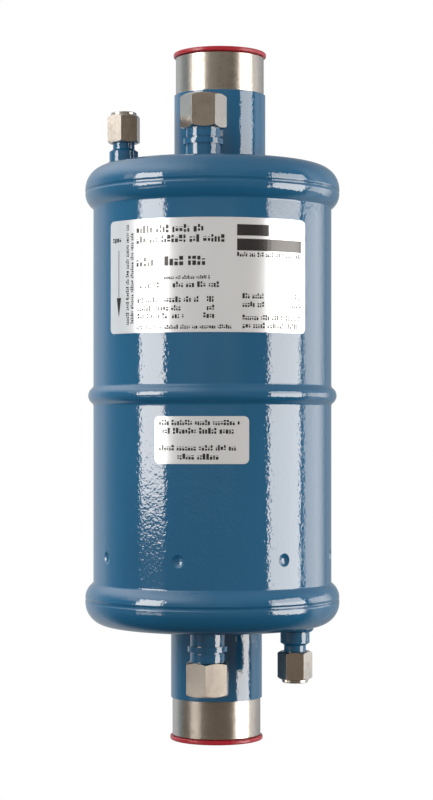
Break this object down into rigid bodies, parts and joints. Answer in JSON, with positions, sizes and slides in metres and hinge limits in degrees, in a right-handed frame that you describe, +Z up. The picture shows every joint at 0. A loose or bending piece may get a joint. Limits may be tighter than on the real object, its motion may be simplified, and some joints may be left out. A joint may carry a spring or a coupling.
{
  "type": "refrigeration muffler",
  "caption": "Upright discharge-line muffler: a belled steel can with dished ends, an offset pipe socket and a capped flare union and service valve at each end, in blue gloss paint.",
  "frame": {"origin": "the middle of the can, on the shell's axis, halfway between the two pipe mouths", "axes": "+Z up along the can's axis towards the inlet, -Y the front that carries the labels, +X to the right seen from the front"},
  "size_m": [0.122, 0.122, 0.3346],
  "materials": {
    "blue_paint": "gloss",
    "bare_steel": "satin",
    "nut_steel": "satin",
    "red_plastic": "gloss",
    "copper": "satin",
    "core_brass": "satin",
    "seal_rubber": "matte",
    "label_film": "satin"
  },
  "bodies": {
    "root": {"shell": "blue_paint", "upper_end_cap": "blue_paint", "lower_end_cap": "blue_paint", "upper_seam_weld": "blue_paint", "lower_seam_weld": "blue_paint", "inlet_tube": "blue_paint", "outlet_tube": "blue_paint", "inlet_tube_weld": "blue_paint", "outlet_tube_weld": "blue_paint", "upper_flare_union": "blue_paint", "lower_flare_union": "blue_paint", "upper_union_weld": "blue_paint", "lower_union_weld": "blue_paint", "upper_valve_body": "blue_paint", "lower_valve_body": "blue_paint", "upper_valve_weld": "blue_paint", "lower_valve_weld": "blue_paint", "middle_baffle": "bare_steel", "transfer_tube": "bare_steel", "lower_baffle": "bare_steel", "upper_flare_nut": "nut_steel", "lower_flare_nut": "nut_steel", "upper_valve_cap": "nut_steel", "lower_valve_cap": "nut_steel", "inlet_plug": "red_plastic", "outlet_plug": "red_plastic", "upper_sealing_bonnet": "copper", "lower_sealing_bonnet": "copper", "upper_valve_core": "core_brass", "lower_valve_core": "core_brass", "upper_cap_seal": "seal_rubber", "lower_cap_seal": "seal_rubber", "rating_label": "label_film", "small_label": "label_film"}
  },
  "joints": []
}
